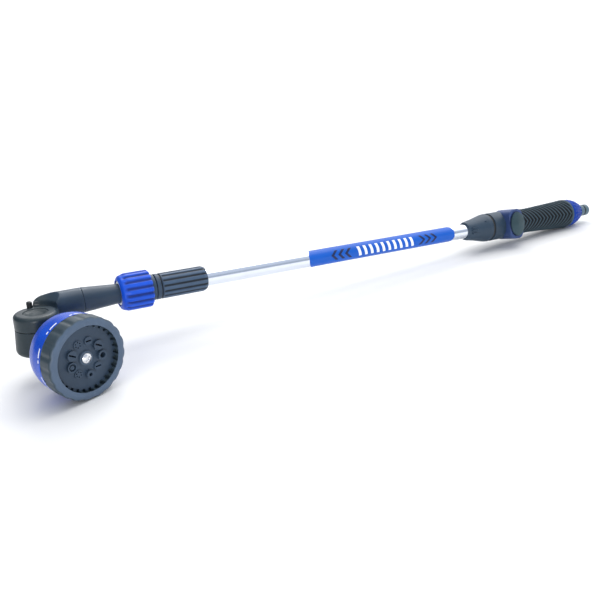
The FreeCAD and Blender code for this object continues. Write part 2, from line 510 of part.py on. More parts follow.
# The knob is an oval with a low ridge along it, over a thin oval skirt.
KNOB_TOP = KNOB_BASE + 2.4
knob_ridge = Part.Face(Part.makePolygon([
    Vector(-KNOB_HALF_WIDTH, 0, KNOB_TOP), Vector(KNOB_HALF_WIDTH, 0, KNOB_TOP),
    Vector(0, 0, KNOB_TOP + 1.3), Vector(-KNOB_HALF_WIDTH, 0, KNOB_TOP)]))
knob_ridge = knob_ridge.extrude(Vector(0, 2 * KNOB_HALF_HEIGHT, 0))
knob_ridge.translate(Vector(0, -KNOB_HALF_HEIGHT, 0))
knob_ridge = placed(knob_ridge, across_valve).common(knob_oval(KNOB_TOP, KNOB_TOP + 2, -0.6))
valve_knob = knob_oval(KNOB_BASE, KNOB_BASE + 0.8, 0.6).fuse(knob_oval(KNOB_BASE, KNOB_TOP, 0))
parts["valve_knob"] = valve_knob.fuse(knob_ridge)

GRIP_CORE_R = 12.0
CORE_END_X = 674.5
SCREEN_X = 662.5            # shelf in the hose end that the inlet screen sits on
parts["grip_core"] = lathe([
    (GRIP_X, 10.0), (GRIP_X, GRIP_CORE_R), (CORE_END_X, GRIP_CORE_R, 0.5), (CORE_END_X, 8.0),
    (SCREEN_X, 8.0), (SCREEN_X, 6.0), (SPIGOT_END_X, 6.0), (SPIGOT_END_X, 10.0)])
grip_sleeve = lathe([
    (GRIP_X, GRIP_CORE_R), (GRIP_X, 15.0, 0.8), (587, 14.5, 60), (628, 16.6, 60),
    (GRIP_WIDE_X, GRIP_R, 14), (CAP_X, 17.3, 0.8), (CAP_X, GRIP_CORE_R)])
parts["grip_sleeve"] = grip_sleeve
end_cap = lathe([
    (CAP_X, GRIP_CORE_R), (CAP_X, 17.2, 0.5), (CAP_X + 7, 17.0, 6), (CAP_X + 15, 14.4, 5),
    (CAP_END_X, 11.4, 1.0), (CAP_END_X, 9.4), (CORE_END_X, 9.4), (CORE_END_X, GRIP_CORE_R)])
cap_flute = Part.makeCylinder(1.4, 26, Vector(CAP_X + 3, 0, 18.0), Vector(1, 0, -0.17))
parts["end_cap"] = end_cap.cut(around(cap_flute, 20))
NOSE_RING_X = 688.7
parts["hose_nipple"] = lathe([
    (SCREEN_X, 4.5), (SCREEN_X, 8.0), (CORE_END_X, 8.0), (CORE_END_X, 6.4), (CAP_END_X + 2.5, 6.4, 0.8),
    (CAP_END_X + 3.2, 8.7, 0.3), (CAP_END_X + 5.2, 8.7, 0.5), (CAP_END_X + 5.5, NIPPLE_R),
    (NOSE_RING_X - 1.2, NIPPLE_R), (NOSE_RING_X - 1.2, 5.5), (NOSE_RING_X + 1.2, 5.5),
    (NOSE_RING_X + 1.2, NIPPLE_R), (NIPPLE_END_X, NIPPLE_R, 1.2),
    (NIPPLE_END_X, 4.5, 0.4)])
parts["nipple_o_ring"] = o_ring(NOSE_RING_X, 6.3, 0.8)
inlet_screen = rod(SCREEN_X + 1, SCREEN_X + 2, 4.5)
screen_hole = Part.makeCylinder(0.7, 4, Vector(SCREEN_X, 0, 2.6), ALONG)
inlet_screen = inlet_screen.cut(around(screen_hole, 8)).cut(rod(SCREEN_X, SCREEN_X + 4, 0.7))
parts["inlet_screen"] = inlet_screen


# ---- lay the wand down and write the pieces ----
def laid_down():
    """Placement that tips the wand onto its resting points, with the floor at z = 0."""
    turned = FreeCAD.Placement(ORIGIN, FreeCAD.Rotation(Vector(0, 1, 0), LAY_PITCH))
    whole = Part.makeCompound([placed(shape, turned) for shape in parts.values()])
    box = whole.optimalBoundingBox(False)
    middle = Vector(box.Center.x, box.Center.y, box.ZMin)
    return FreeCAD.Placement(middle * -1, turned.Rotation)


LAID = laid_down()
os.makedirs("parts", exist_ok=True)
for name, shape in parts.items():
    placed(shape, LAID).exportStep("parts/" + name + ".step")
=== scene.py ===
import json
import math

import bmesh
import bpy
from mathutils import Matrix, Vector


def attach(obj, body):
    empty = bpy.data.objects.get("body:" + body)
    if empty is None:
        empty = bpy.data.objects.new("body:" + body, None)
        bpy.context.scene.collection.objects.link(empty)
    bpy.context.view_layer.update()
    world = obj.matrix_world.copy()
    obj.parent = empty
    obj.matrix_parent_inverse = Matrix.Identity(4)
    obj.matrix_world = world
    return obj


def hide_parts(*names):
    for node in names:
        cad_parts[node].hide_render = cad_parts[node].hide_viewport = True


# Looks of the telescopic watering wand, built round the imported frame.
# Turned pieces are drawn in millimetres about a local X axis, as in the CAD source,
# and their meshes are stored in the row frame, in metres.

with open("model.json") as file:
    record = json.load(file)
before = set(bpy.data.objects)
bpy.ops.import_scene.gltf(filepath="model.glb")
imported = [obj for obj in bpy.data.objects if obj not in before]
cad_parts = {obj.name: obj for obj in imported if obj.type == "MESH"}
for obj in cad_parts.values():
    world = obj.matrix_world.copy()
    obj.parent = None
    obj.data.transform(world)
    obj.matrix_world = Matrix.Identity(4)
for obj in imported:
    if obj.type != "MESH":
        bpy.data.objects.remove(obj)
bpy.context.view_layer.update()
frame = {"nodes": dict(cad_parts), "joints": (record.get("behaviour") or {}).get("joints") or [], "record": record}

MM = 0.001
TURN = 2 * math.pi
joints = {joint["name"]: joint for joint in frame["joints"]}


# ---- places, all from the frame ----
def axes_at(spot, along, upward):
    """Matrix whose X is along and whose Z is nearest to upward, in metres."""
    x = Vector(along).normalized()
    y = Vector(upward).cross(x).normalized()
    z = x.cross(y)
    matrix = Matrix((x, y, z)).transposed().to_4x4()
    matrix.translation = Vector(spot)
    return matrix


TUBE_AXIS = Vector(joints["lock_twist"]["axis"])
SWIVEL_AXIS = -Vector(joints["head_swivel"]["axis"])
PIVOT_SIDE = -13.0          # the swivel stands this far to the near side of the tubes
PIVOT_DEPTH = -20.0         # height of the swivel joint's point, from the tubes
WAND = axes_at((0, 0, 0), TUBE_AXIS, SWIVEL_AXIS)
pivot_point = Vector(joints["head_swivel"]["pos_m"])
WAND.translation = pivot_point - WAND.to_3x3() @ Vector((0, PIVOT_SIDE, PIVOT_DEPTH)) * MM
FACE = axes_at(joints["dial_turn"]["pos_m"], joints["dial_turn"]["axis"], SWIVEL_AXIS)
KNOB = axes_at(joints["valve_turn"]["pos_m"], joints["valve_turn"]["axis"], -TUBE_AXIS)


def stations(node):
    """Where a CAD node starts and ends along the tubes, in millimetres."""
    corners = [WAND.inverted() @ Vector(v.co) for v in frame["nodes"][node].data.vertices]
    return min(c.x for c in corners) / MM, max(c.x for c in corners) / MM


# ---- materials ----
def colour_stops(nodes, links, source, stops):
    """Colour ramp from (position, colour) stops."""
    ramp = nodes.new("ShaderNodeValToRGB")
    while len(ramp.color_ramp.elements) < len(stops):
        ramp.color_ramp.elements.new(0.5)
    for element, (position, colour) in zip(ramp.color_ramp.elements, stops):
        element.position = position
        element.color = (*colour, 1)
    links.new(source, ramp.inputs["Fac"])
    return ramp.outputs["Color"]


class Shader:
    """Short calls for a node material."""

    def __init__(self, name):
        self.material = bpy.data.materials.new(name)
        self.material.use_nodes = True
        self.nodes = self.material.node_tree.nodes
        self.links = self.material.node_tree.links
        self.surface = self.nodes["Principled BSDF"]
        self.place = self.add("ShaderNodeTexCoord").outputs["Object"]

    def add(self, kind, **settings):
        node = self.nodes.new(kind)
        for key, value in settings.items():
            setattr(node, key, value)
        return node

    def noise(self, size_mm, detail=3.0, stretch=(1, 1, 1), roughness=0.5):
        """Noise whose features are about size_mm across."""
        mapping = self.add("ShaderNodeMapping")
        mapping.inputs["Scale"].default_value = stretch
        texture = self.add("ShaderNodeTexNoise")
        texture.inputs["Scale"].default_value = 1 / (size_mm * MM)
        texture.inputs["Detail"].default_value = detail
        texture.inputs["Roughness"].default_value = roughness
        self.links.new(self.place, mapping.inputs["Vector"])
        self.links.new(mapping.outputs["Vector"], texture.inputs["Vector"])
        return texture.outputs["Fac"]

    def ramp(self, source, stops):
        return colour_stops(self.nodes, self.links, source, stops)

    def scaled(self, source, low, high, start=0.3, end=0.7):
        """Maps the source's start to end onto low to high."""
        rescale = self.add("ShaderNodeMapRange")
        rescale.inputs["From Min"].default_value = start
        rescale.inputs["From Max"].default_value = end
        rescale.inputs["To Min"].default_value = low
        rescale.inputs["To Max"].default_value = high
        self.links.new(source, rescale.inputs["Value"])
        return rescale.outputs["Result"]

    def mix(self, amount, first, second):
        blend = self.add("ShaderNodeMix", data_type="RGBA")
        self.links.new(amount, blend.inputs["Factor"])
        for socket, value in ((blend.inputs[6], first), (blend.inputs[7], second)):
            if isinstance(value, tuple):
                socket.default_value = (*value, 1)
            else:
                self.links.new(value, socket)
        return blend.outputs[2]

    def bump(self, source, height_mm, onto=None):
        node = self.add("ShaderNodeBump")
        node.inputs["Distance"].default_value = height_mm * MM
        self.links.new(source, node.inputs["Height"])
        if onto is not None:
            self.links.new(onto, node.inputs["Normal"])
        return node.outputs["Normal"]

    def finish(self, colour, roughness, normal=None, **settings):
        self.links.new(colour, self.surface.inputs["Base Color"])
        self.links.new(roughness, self.surface.inputs["Roughness"])
        if normal is not None:
            self.links.new(normal, self.surface.inputs["Normal"])
        for key, value in settings.items():
            self.surface.inputs[key.replace("_", " ")].default_value = value
        return self.material


def shade(colour, factor):
    return tuple(channel * factor for channel in colour)


def moulded(name, colour, gloss, grain_mm=0.35, grain=0.012, mottle=0.12):
    """Injection-moulded plastic: fine texture, faint flow marks and handling polish."""
    s = Shader(name)
    flow = s.noise(14, 4, stretch=(0.35, 1, 1))
    speck = s.noise(grain_mm, 2)
    polish = s.noise(5, 3)
    tint = s.ramp(flow, [(0.3, shade(colour, 1 - mottle)), (0.7, shade(colour, 1 + mottle))])
    scratch = s.noise(0.9, 5, stretch=(0.08, 1, 1), roughness=0.7)
    rough = s.scaled(polish, gloss - 0.05, gloss + 0.08)
    normal = s.bump(speck, grain)
    normal = s.bump(scratch, grain * 0.5, normal)
    return s.finish(tint, rough, normal, Specular_IOR_Level=0.32)


def neck_plastic(name, near, far, start, end):
    """Moulded plastic whose colour drifts from the swivel barrel to the neck, between two
    stations along the row's X, in metres."""
    s = Shader(name)
    split = s.add("ShaderNodeSeparateXYZ")
    s.links.new(s.place, split.inputs[0])
    along = s.scaled(split.outputs["X"], 0.0, 1.0, start, end)
    flow = s.noise(14, 4, stretch=(0.35, 1, 1))
    barrel = s.ramp(flow, [(0.3, shade(near, 0.88)), (0.7, shade(near, 1.12))])
    neck = s.ramp(flow, [(0.3, shade(far, 0.88)), (0.7, shade(far, 1.12))])
    normal = s.bump(s.noise(0.35, 2), 0.012)
    rough = s.scaled(s.noise(5, 3), 0.3, 0.4)
    return s.finish(s.mix(along, barrel, neck), rough, normal, Specular_IOR_Level=0.32)


def glossy(name, colour, gloss, edge, shine=0.24):
    """Bright glossy moulding whose colour drifts in patches toward a painted lit tone, with faint sink and flow
    waves.
    """
    s = Shader(name)
    flow = s.noise(18, 3)
    wave = s.noise(7, 2)
    dust = s.noise(0.5, 4, roughness=0.6)
    # painted light: patches drift toward the lit tone passed in as edge
    tint = s.ramp(flow, [(0.3, shade(colour, 0.9)), (0.7, edge)])
    rough = s.scaled(dust, gloss, gloss + 0.1)
    normal = s.bump(wave, 0.05)
    normal = s.bump(dust, 0.003, normal)
    return s.finish(tint, rough, normal, Specular_IOR_Level=shine, Coat_Weight=shine / 3,
                    Coat_Roughness=0.08)


def polished(name, colour, gloss):
    """Plated metal with drawing lines along the tube and faint haze."""
    s = Shader(name)
    lines = s.noise(0.6, 3, stretch=(0.01, 1, 1))
    haze = s.noise(9, 4)
    tint = s.ramp(haze, [(0.3, shade(colour, 0.96)), (0.7, colour)])
    rough = s.scaled(haze, gloss, gloss + 0.05)
    return s.finish(tint, rough, s.bump(lines, 0.002), Metallic=1.0)


def ribbed_rubber(name, valley, crest):
    """Soft rubber with painted light: the raised ribs take a lighter lit tone with dusty patches and the valleys
    take near-black painted shade. The mesh stores how raised it is.
    """
    s = Shader(name)
    raised = s.add("ShaderNodeAttribute", attribute_name="raised").outputs["Fac"]
    grain = s.noise(0.4, 3)
    dust = s.noise(6, 4)
    lit_crest = s.ramp(dust, [(0.3, crest), (0.7, shade(crest, 1.25))])
    tint = s.mix(raised, valley, lit_crest)
    rough = s.scaled(dust, 0.5, 0.66)
    return s.finish(tint, rough, s.bump(grain, 0.02), Specular_IOR_Level=0.22)


def painted_light_plastic(name, side, rim):
    """Moulded plastic with painted light: a lit tone where it stands proud and painted shade in its grooves and
    hollows. The mesh stores how raised it is.
    """
    s = Shader(name)
    raised = s.add("ShaderNodeAttribute", attribute_name="raised").outputs["Fac"]
    flow = s.noise(14, 4)
    low = s.ramp(flow, [(0.3, shade(side, 0.88)), (0.7, shade(side, 1.12))])
    high = s.ramp(flow, [(0.3, shade(rim, 0.92)), (0.7, shade(rim, 1.08))])
    rough = s.scaled(s.noise(5, 3), 0.36, 0.48)
    return s.finish(s.mix(raised, low, high), rough, s.bump(s.noise(0.35, 2), 0.012),
                    Specular_IOR_Level=0.28)


def plain_rubber(name, colour):
    s = Shader(name)
    grain = s.noise(0.5, 3)
    dust = s.noise(4, 4)
    tint = s.ramp(dust, [(0.3, colour), (0.7, shade(colour, 1.5))])
    return s.finish(tint, s.scaled(dust, 0.5, 0.7), s.bump(grain, 0.015))


def printed_film(name, colour):
    """Smooth printed film with a faint ripple from being laid on the tube."""
    s = Shader(name)
    ripple = s.noise(12, 2, stretch=(0.2, 1, 1))
    dust = s.noise(1.2, 3)
    tint = s.ramp(ripple, [(0.3, colour), (0.7, shade(colour, 1.12))])
    return s.finish(tint, s.scaled(dust, 0.3, 0.4), s.bump(ripple, 0.02), Coat_Weight=0.10,
                    Specular_IOR_Level=0.25)


SLATE = (0.029, 0.052, 0.082)
SLATE_GREEN = (0.020, 0.033, 0.040)
DIAL_GREY = (0.050, 0.078, 0.120)
BLUE = (0.005, 0.058, 0.46)
BLUE_LIT = (0.006, 0.082, 0.60)
NAVY = (0.010, 0.020, 0.075)
SNOW = (0.86, 0.88, 0.90)

slate = moulded("slate_plastic", SLATE, 0.38)
barrel_grey = moulded("barrel_plastic", SLATE_GREEN, 0.42)
dial_grey = moulded("dial_plastic", DIAL_GREY, 0.40)
# painted light: the dial ring's front face gets a lit tone, its side wall and recess a shaded tone
dial_painted_light_plastic = painted_light_plastic("dial_ring_plastic", (0.036, 0.056, 0.072), (0.070, 0.104, 0.158))
plate_grey = moulded("plate_plastic", (0.028, 0.048, 0.078), 0.42)
bezel_blue = moulded("bezel_plastic", (0.036, 0.066, 0.180), 0.40)
nipple_grey = moulded("nipple_plastic", (0.088, 0.142, 0.178), 0.38)
cap_blue = glossy("cap_plastic", shade(BLUE, 0.6), 0.36, shade(BLUE_LIT, 0.6), 0.08)
# painted light: the collar's grooves and bore get near-black painted shade, its ribs a lit tone
collar_grey = painted_light_plastic("collar_plastic", (0.007, 0.012, 0.018), (0.052, 0.088, 0.145))
# painted light: the nut's grooves get a shaded copy of the blue, its ridges and shoulder a lit copy
nut_blue = painted_light_plastic("nut_plastic", shade(BLUE, 0.4), shade(BLUE_LIT, 0.95))
blue = glossy("blue_plastic", BLUE, 0.24, BLUE_LIT)
snow = glossy("white_acetal", shade(SNOW, 0.92), 0.3, SNOW)
black = moulded("black_nylon", (0.010, 0.012, 0.014), 0.4)
chrome = polished("chrome_tube", (0.80, 0.84, 0.91), 0.07)
steel = polished("screw_steel", (0.80, 0.81, 0.83), 0.2)
rubber = plain_rubber("seal_rubber", (0.010, 0.011, 0.012))
# painted light: near-black painted shade in the grip's valleys, a lighter lit tone on the rib crests
grip_rubber = ribbed_rubber("grip_rubber", (0.002, 0.003, 0.005), (0.038, 0.064, 0.082))
knob_grey = moulded("knob_plastic", (0.026, 0.056, 0.068), 0.42)
# a dark navy sheet that stands in for the shadow line round the shut-off knob
navy = moulded("knob_shadow_navy", (0.006, 0.012, 0.055), 0.4)
film = printed_film("label_film", (0.004, 0.090, 0.46))
ink_navy = printed_film("label_navy_ink", NAVY)
ink_white = printed_film("white_ink", (0.80, 0.82, 0.86))

LOOKS = {
    "dark_plastic": slate, "dial_plastic": dial_grey, "blue_plastic": blue,
    "white_plastic": snow, "black_plastic": black, "chrome_tube": chrome, "steel": steel,
    "rubber": rubber, "seat_plastic": snow, "label": film}


# ---- mesh tools ----
def rounded(corners, spacing=3.0, arc_step=12.0):
    """Closed outline from (x, radius) corners. A third value rounds that corner.
    Runs longer than spacing are divided, and arcs have a point every arc_step degrees."""
    points = []
    count = len(corners)
    for i in range(count):
        here = Vector(corners[i][:2])
        before = Vector(corners[i - 1][:2])
        after = Vector(corners[(i + 1) % count][:2])
        radius = corners[i][2] if len(corners[i]) > 2 else 0
        if radius == 0:
            points.append(here)
            continue
        back = (before - here).normalized()
        ahead = (after - here).normalized()
        half = back.angle(ahead) / 2
        centre = here + (back + ahead).normalized() * (radius / math.sin(half))
        start = here + back * (radius / math.tan(half)) - centre
        sweep = (here + ahead * (radius / math.tan(half)) - centre).angle_signed(start)
        steps = max(2, round(abs(math.degrees(sweep)) / arc_step))
        for step in range(steps + 1):
            points.append(centre + Matrix.Rotation(sweep * step / steps, 2) @ start)
    outline = []
    for i in range(len(points)):
        run = points[i] - points[i - 1]
        pieces = max(1, math.ceil(run.length / spacing))
        for piece in range(pieces):
            outline.append(points[i - 1] + run * (piece / pieces))
    return outline


def new_piece(name, verts, faces, material, body, raised=None, smooth=35.0):
    """Object from vertices in the row frame, with clean outward normals."""
    mesh = bpy.data.meshes.new(name)
    mesh.from_pydata(verts, [], faces)
    if raised is not None:
        layer = mesh.attributes.new("raised", "FLOAT", "POINT")
        layer.data.foreach_set("value", raised)
    work = bmesh.new()
    work.from_mesh(mesh)
    bmesh.ops.remove_doubles(work, verts=work.verts, dist=1e-6)
    bmesh.ops.recalc_face_normals(work, faces=work.faces)
    work.to_mesh(mesh)
    work.free()
    mesh.shade_smooth()
    mesh.set_sharp_from_angle(angle=math.radians(smooth))
    mesh.materials.append(material)
    piece = bpy.data.objects.new(name, mesh)
    bpy.context.scene.collection.objects.link(piece)
    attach(piece, body)
    return piece


def turned(name, corners, count, place, material, body, form=None, spacing=3.0, smooth=35.0):
    """Closed outline turned about the place's X axis. form(x, radius, angle) gives the
    radius at a point and how raised it is."""
    outline = rounded(corners, spacing)
    verts = []
    raised = []
    for x, radius in outline:
        for k in range(count):
            angle = TURN * k / count
            reach, height = form(x, radius, angle) if form else (radius, 0.0)
            spot = Vector((x, reach * math.cos(angle), reach * math.sin(angle))) * MM
            verts.append(place @ spot)
            raised.append(height)
    faces = []
    for i in range(len(outline)):
        after = (i + 1) % len(outline)
        for k in range(count):
            beside = (k + 1) % count
            faces.append((i * count + k, i * count + beside, after * count + beside,
                          after * count + k))
    heights = raised if form else None
    return new_piece(name, verts, faces, material, body, heights, smooth)


def step_up(value, start, end):
    """0 before start, 1 after end, smooth between."""
    t = min(1.0, max(0.0, (value - start) / (end - start)))
    return t * t * (3 - 2 * t)


def pulse(phase, width, soft):
    """Raised part of a repeat: phase runs 0 to 1, width is the raised share."""
    off_centre = abs((phase % 1.0) - 0.5) * 2
    return 1 - step_up(off_centre, width - soft, width + soft)


# ---- spray dial ----
DIAL_R = 34.4
RECESS_R = 27.5
RECESS_DEPTH = 5.5
DIAL_DEPTH = 15.0
SCALLOPS = 20
RIM_SLOTS = 30
PLATE = -RECESS_DEPTH


def dial_form(x, radius, angle):
    """Shallow scallops outside and a ring of slots in the recess wall. Raised on the front rim, which takes a
    painted lit tone; the side wall and recess take painted shade.
    """
    rim = step_up(x, -1.6, -0.5)
    if radius > 30.5 and x > -DIAL_DEPTH + 0.4:
        hollow = (1 + math.cos(angle * SCALLOPS)) / 2
        depth = 0.7 * hollow ** 2.5 * step_up(radius, 31.5, 34.2)
        return radius - depth, rim
    if abs(radius - RECESS_R) < 0.7 and x < -0.9:
        slot = pulse(angle * RIM_SLOTS / TURN, 0.56, 0.08)
        return radius + 1.9 * slot * step_up(-x, 0.9, 1.3), rim
    return radius, rim


def build_dial():
    dial = turned("dial_ring_look", [
        (-0.4, RECESS_R, 0.5), (0, 31.0, 2), (-1.2, DIAL_R, 2.2), (-DIAL_DEPTH, DIAL_R, 1.0),
        (-DIAL_DEPTH, 32.0), (-9.8, 32.0), (-9.8, 25.5), (-8.0, 25.5), (-8.0, RECESS_R + 0.1),
        (PLATE - 0.2, RECESS_R)],
        720, FACE, dial_painted_light_plastic, "dial", dial_form, spacing=1.1)
    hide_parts("dial_ring")


build_dial()


# ---- print marks on round surfaces ----
def ribbon(name, edges, radius, lift, place, material, body, steps=24, across=3):
    """Thin raised mark on a round surface. edges(t) gives its two edge points as
    (x, angle) while t runs 0 to 1, and radius(x) is the surface under it."""
    verts = []
    for i in range(steps + 1):
        (xa, angle_a), (xb, angle_b) = edges(i / steps)
        for height in (-0.02, lift):
            for j in range(across + 1):
                x = xa + (xb - xa) * j / across
                angle = angle_a + (angle_b - angle_a) * j / across
                reach = radius(x) + height
                spot = Vector((x, reach * math.cos(angle), reach * math.sin(angle))) * MM
                verts.append(place @ spot)
    row = 2 * (across + 1)
    ring = list(range(across + 1)) + list(range(row - 1, across, -1))
    faces = [tuple(reversed(ring)), tuple(steps * row + k for k in ring)]
    for i in range(steps):
        for k in range(row):
            a, b = ring[k], ring[(k + 1) % row]
            faces.append((i * row + a, i * row + b, (i + 1) * row + b, (i + 1) * row + a))
    return new_piece(name, verts, faces, material, body)


# ---- spray head housing ----
HOUSING_MARKS = 9
HOUSING = [
    (-15.3, 31.6), (-15.3, 34.0, 0.8), (-27, 33.4, 20), (-37, 30.8, 8), (-43, 22.5, 8),
    (-44.5, 9.4, 1.5), (-52, 9.4, 0.8), (-52, 6.5), (-41.8, 6.5), (-41.8, 20.6, 6),
    (-35.4, 28.6, 8), (-26, 31.2, 10), (-19.5, 31.6), (-19.5, 2.4), (-16.5, 2.4), (-16.5, 31.6)]


def housing_radius(x):
    """Outer radius of the housing near its front edge."""
    return 34.0 - (-15.3 - x) * 0.6 / 11.7


def build_housing():
    housing = turned("housing_look", HOUSING, 256, FACE, blue, "head",
                     spacing=2.0)
    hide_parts("head_housing")
    for i in range(HOUSING_MARKS):
        middle = TURN * i / HOUSING_MARKS
        for part, (shift, half_span) in enumerate(((0.0, 0.11), (0.20, 0.035))):
            def dash(t, centre=middle + shift, half=half_span):
                angle = centre + half * (2 * t - 1)
                return (-17.0, angle), (-18.3, angle)
            ribbon(f"housing_dash_{i}_{part}", dash, housing_radius, 0.06, FACE, ink_white,
                   "head", steps=10, across=2)


# ---- coupling nut and lock collar ----
NUT_RIDGES = 16
COLLAR_RIBS = 14


def build_nut():
    start, end = stations("coupling_nut")
    length = end - start

    def ridged(x, radius, angle):
        along = x - start
        on_side = step_up(radius, 15.2, 16.2) * step_up(along, 2.0, 6.0)
        ridge = pulse((angle - TURN / 4) * NUT_RIDGES / TURN, 0.60, 0.30)
        # the second value sets the painted light: lit tone on ridges and shoulder, painted shade in the grooves
        return radius - 1.25 * on_side * (1 - ridge), 1 - on_side * (1 - ridge)

    outline = [
        (0, 11.8), (0, 13.0, 1.0), (1.6, 15.6, 2.5), (7, 17.4, 4.0), (length - 1.2, 17.4, 0.8),
        (length, 16.2, 0.5), (length, 13.7), (length - 1, 13.05), (5.45, 13.05), (5.45, 11.8)]
    outline = [(start + corner[0], *corner[1:]) for corner in outline]
    nut = turned("nut_look", outline, 576, WAND, nut_blue, "coupling_nut", ridged,
                 spacing=1.2, smooth=50)
    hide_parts("coupling_nut")


def build_collar():
    start, end = stations("lock_collar")
    length = end - start

    def ribbed(x, radius, angle):
        along = x - start
        # the second value picks the painted light: lit tone on the ribs, painted shade in the grooves and the bore
        if radius < 10.6:
            return radius, 0.0
        if along < 6.0:
            groove = step_up(along, 3.6, 4.0) * (1 - step_up(along, 4.9, 5.3))
            return radius - 0.9 * groove, 0.6 * (1 - groove)
        run = step_up(along, 6.0, 7.0) * (1 - step_up(along, length - 3.5, length - 1.5))
        valley = 1 - pulse((angle - TURN / 4) * COLLAR_RIBS / TURN, 0.62, 0.24)
        return radius - 0.85 * run * valley, 1 - valley

    outline = [
        (0, 7.1), (0, 12.1, 0.8), (length - 3, 12.1, 3.0), (length, 10.7, 0.8), (length, 8.8),
        (length - 2, 8.8), (length - 2, 10.35), (2, 10.35), (2, 7.1)]
    outline = [(start + corner[0], *corner[1:]) for corner in outline]
    collar = turned("collar_look", outline, 440, WAND, collar_grey, "lock_collar",
                    ribbed, spacing=0.4, smooth=50)
    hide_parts("lock_collar")


# ---- grip and end cap ----
RIB_PITCH = 5.6
RIB_SLANT = 0.62
CAP_FLUTES = 20
knob_in_wand = WAND.to_3x3().inverted() @ (KNOB.to_3x3() @ Vector((1, 0, 0)))
KNOB_SIDE = math.atan2(knob_in_wand.z, knob_in_wand.y)      # angle of the knob round the wand


def build_grip():
    start, end = stations("grip_sleeve")
    length = end - start

    def herringbone(x, radius, angle):
        along = x - start
        if radius < 13.5:
            return radius, 0.0
        off_spine = abs((angle - KNOB_SIDE + TURN / 4) % (TURN / 2) - TURN / 4)
        lean = along + RIB_SLANT * off_spine * radius
        rib = pulse(lean / RIB_PITCH, 0.36, 0.16)
        inside = step_up(along, 2.5, 3.5) * (1 - step_up(along, length - 4.5, length - 3.0))
        raised = rib * inside + (1 - inside)
        # the raised share sets the painted light: lit crests, painted shade in the valleys
        return radius - 0.9 * (1 - raised) + 0.25 * rib * inside, raised

    outline = [
        (0, 12), (0, 15.0, 0.8), (19, 14.5, 60), (65, 16.6, 60), (85, 17.7, 14),
        (length, 17.3, 0.8), (length, 12)]
    outline = [(start + corner[0], *corner[1:]) for corner in outline]
    grip = turned("grip_look", outline, 420, WAND, grip_rubber, "handle", herringbone,
                  spacing=0.45, smooth=60)
    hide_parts("grip_sleeve")


def build_end_cap():
    start, end = stations("end_cap")
    length = end - start

    def fluted(x, radius, angle):
        along = x - start
        if radius < 11.3:
            return radius, 0.0
        run = step_up(along, 2.5, 6.0) * (1 - step_up(along, length - 1.5, length - 0.2))
        valley = 1 - pulse(angle * CAP_FLUTES / TURN, 0.55, 0.35)
        return radius - 1.1 * run * valley, 0.0

    outline = [
        (0, 12), (0, 17.2, 0.5), (7, 17.0, 6), (15, 14.4, 5), (length, 11.4, 1.0),
        (length, 9.4), (length - 2, 9.4), (length - 2, 12)]
    outline = [(start + corner[0], *corner[1:]) for corner in outline]
    cap = turned("end_cap_look", outline, 400, WAND, cap_blue, "handle", fluted,
                 spacing=0.8, smooth=50)
    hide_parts("end_cap")


# ---- label print: generic marks for a tube that pulls out ----
CHEVRONS = 3
CHEVRON_PITCH = 8.5
CHEVRON_WIDTH = 3.6
BARS = 10
BAR_PITCH = 7.8
BAR_WIDTH = 3.4
BAR_SPAN = 0.62
BAR_LEAN = 1.2


def build_label_print():
    start, end = stations("label")
    surface = 8.5 + 0.12

    def on_label(x):
        return surface

    def chevron(tip, toward, name):
        def edges(t):
            off = (2 * t - 1) * 0.62
            x = tip - toward * abs(off) * surface * 1.05
            return (x, KNOB_SIDE + off), (x - toward * CHEVRON_WIDTH, KNOB_SIDE + off)
        ribbon(name, edges, on_label, 0.05, WAND, ink_navy, "handle")

    def slanted_bar(middle, name):
        def edges(t):
            angle = KNOB_SIDE + BAR_SPAN * (2 * t - 1)
            x = middle + BAR_LEAN * (2 * t - 1)
            return (x - BAR_WIDTH / 2, angle), (x + BAR_WIDTH / 2, angle)
        ribbon(name, edges, on_label, 0.05, WAND, ink_white, "handle", steps=8, across=2)

    for i in range(CHEVRONS):
        chevron(start + 26 + CHEVRON_PITCH * i, -1, f"chevron_head_{i}")
        chevron(end - 26 - CHEVRON_PITCH * i, 1, f"chevron_tail_{i}")
    middle = (start + end) / 2
    for i in range(BARS):
        slanted_bar(middle + BAR_PITCH * (i - (BARS - 1) / 2), f"label_bar_{i}")


# ---- shut-off knob ----
KNOB_HALF_WIDTH = 10.0
KNOB_HALF_HEIGHT = 14.0


def build_knob():
    inner = KNOB.inverted()
    heights = [(inner @ v.co).x / MM for v in frame["nodes"]["valve_knob"].data.vertices]
    base = min(heights)

    def oval(grown):
        """Radius of the knob's outline at an angle, for a circle of radius one."""
        def form(x, radius, angle):
            wide = KNOB_HALF_WIDTH + grown
            high = KNOB_HALF_HEIGHT + grown
            reach = wide * high / math.hypot(wide * math.cos(angle), high * math.sin(angle))
            return radius * reach, 0.0
        return form

    # painted shadow: a dark navy skirt under the knob stands in for its shaded side wall and the shadow line round
    # it
    skirt = turned("knob_skirt_look", [
        (base, 0.3), (base, 1.0, 0.02), (base + 0.8, 1.0, 0.02), (base + 0.8, 0.3)], 96, KNOB,
        navy, "valve", oval(0.6), spacing=1.0)
    cap = turned("knob_cap_look", [
        (base + 0.2, 0.02), (base + 0.2, 1.0), (base + 2.2, 1.0, 0.03), (base + 2.45, 0.94),
        (base + 3.6, 0.02)], 96, KNOB, knob_grey, "valve", oval(0), spacing=1.0)
    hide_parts("valve_knob")
    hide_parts("valve_knob")


build_knob()
build_housing()
build_nut()
build_collar()
build_grip()
build_end_cap()
build_label_print()


